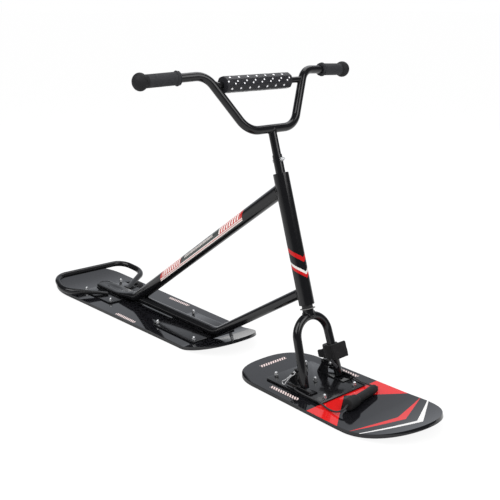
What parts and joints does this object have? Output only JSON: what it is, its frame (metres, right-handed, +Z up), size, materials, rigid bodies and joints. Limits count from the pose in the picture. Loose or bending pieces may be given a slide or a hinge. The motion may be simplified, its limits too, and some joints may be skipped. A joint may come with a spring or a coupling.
{
  "type": "snow scooter",
  "caption": "Snow scooter: long foot board and short steered front ski under a black steel tube frame, with handlebar, padded crossbar, grab loop, tow handle and leash cuff",
  "frame": {"origin": "middle of the bounding box on the snow, under the rear of the frame's head tube", "axes": "+X forward to the front ski's nose, +Y to the rider's left, +Z up"},
  "size_m": [1.5902, 0.7286, 0.8088],
  "materials": {
    "black_paint": "gloss powder coat",
    "gloss_deck": "glossy laminate",
    "zinc": "bright plated",
    "spring_steel": "bright wire",
    "grip_rubber": "matte ribbed rubber",
    "pad_cloth": "woven sleeve with pale dots",
    "cuff_cloth": "matte padded cloth",
    "cord_black": "braided cord",
    "bush_plastic": "moulded black",
    "washer_plastic": "translucent pale"
  },
  "bodies": {
    "rear_frame": {"rear_board": "gloss_deck", "rear_front_plate": "black_paint", "rear_rear_plate": "black_paint", "rear_bolt_1": "zinc", "rear_bolt_2": "zinc", "rear_bolt_3": "zinc", "rear_bolt_4": "zinc", "rear_bolt_5": "zinc", "rear_bolt_6": "zinc", "rear_bolt_7": "zinc", "rear_bolt_8": "zinc", "upper_tube": "black_paint", "lower_tube": "black_paint", "grab_loop": "black_paint", "head_tube": "black_paint", "lower_bush": "bush_plastic", "upper_bush": "bush_plastic"},
    "fork": {"fork_steerer": "black_paint", "fork_collar": "black_paint", "thrust_washer": "washer_plastic", "handlebar": "black_paint", "crossbar": "black_paint", "crossbar_pad": "pad_cloth", "stem_tube": "black_paint", "stem_bolt": "zinc", "stem_dome_nut": "zinc", "grip_right": "grip_rubber", "grip_left": "grip_rubber", "fork_legs": "black_paint", "front_ski": "gloss_deck", "front_base_plate": "black_paint", "front_bolt_1": "zinc", "front_bolt_2": "zinc", "front_bolt_3": "zinc", "front_bolt_4": "zinc", "front_bolt_5": "zinc", "socket_bracket_right": "black_paint", "socket_bracket_left": "black_paint", "fork_link_right": "black_paint", "fork_link_left": "black_paint", "link_rivet_right": "zinc", "link_rivet_left": "zinc", "leash_cuff": "cuff_cloth", "leash_webbing": "cuff_cloth"},
    "pin_right": {"clevis_pin_right": "black_paint", "r_clip_right": "spring_steel"},
    "pin_left": {"clevis_pin_left": "black_paint", "r_clip_left": "spring_steel"},
    "tow_loop": {"tow_handle": "grip_rubber", "tow_rope_right": "cord_black", "tow_rope_left": "cord_black"}
  },
  "joints": [
    {"name": "steering", "type": "hinge", "parent": "rear_frame", "child": "fork", "pos_m": [0.44985, 0, 0], "axis": [-0.3054, 0, 0.9522], "range_deg": [-70, 70]},
    {"name": "pin_right_turn", "type": "hinge", "parent": "fork", "child": "pin_right", "pos_m": [0.40185, -0.06, 0.05], "axis": [0, 1, 0], "range_deg": [0, 100]},
    {"name": "pin_left_turn", "type": "hinge", "parent": "fork", "child": "pin_left", "pos_m": [0.40185, 0.06, 0.05], "axis": [0, 1, 0], "range_deg": [0, 100]},
    {"name": "tow_handle_lift", "type": "hinge", "parent": "fork", "child": "tow_loop", "pos_m": [0.42385, 0, 0.0215], "axis": [0, -1, 0], "range_deg": [0, 55]}
  ]
}
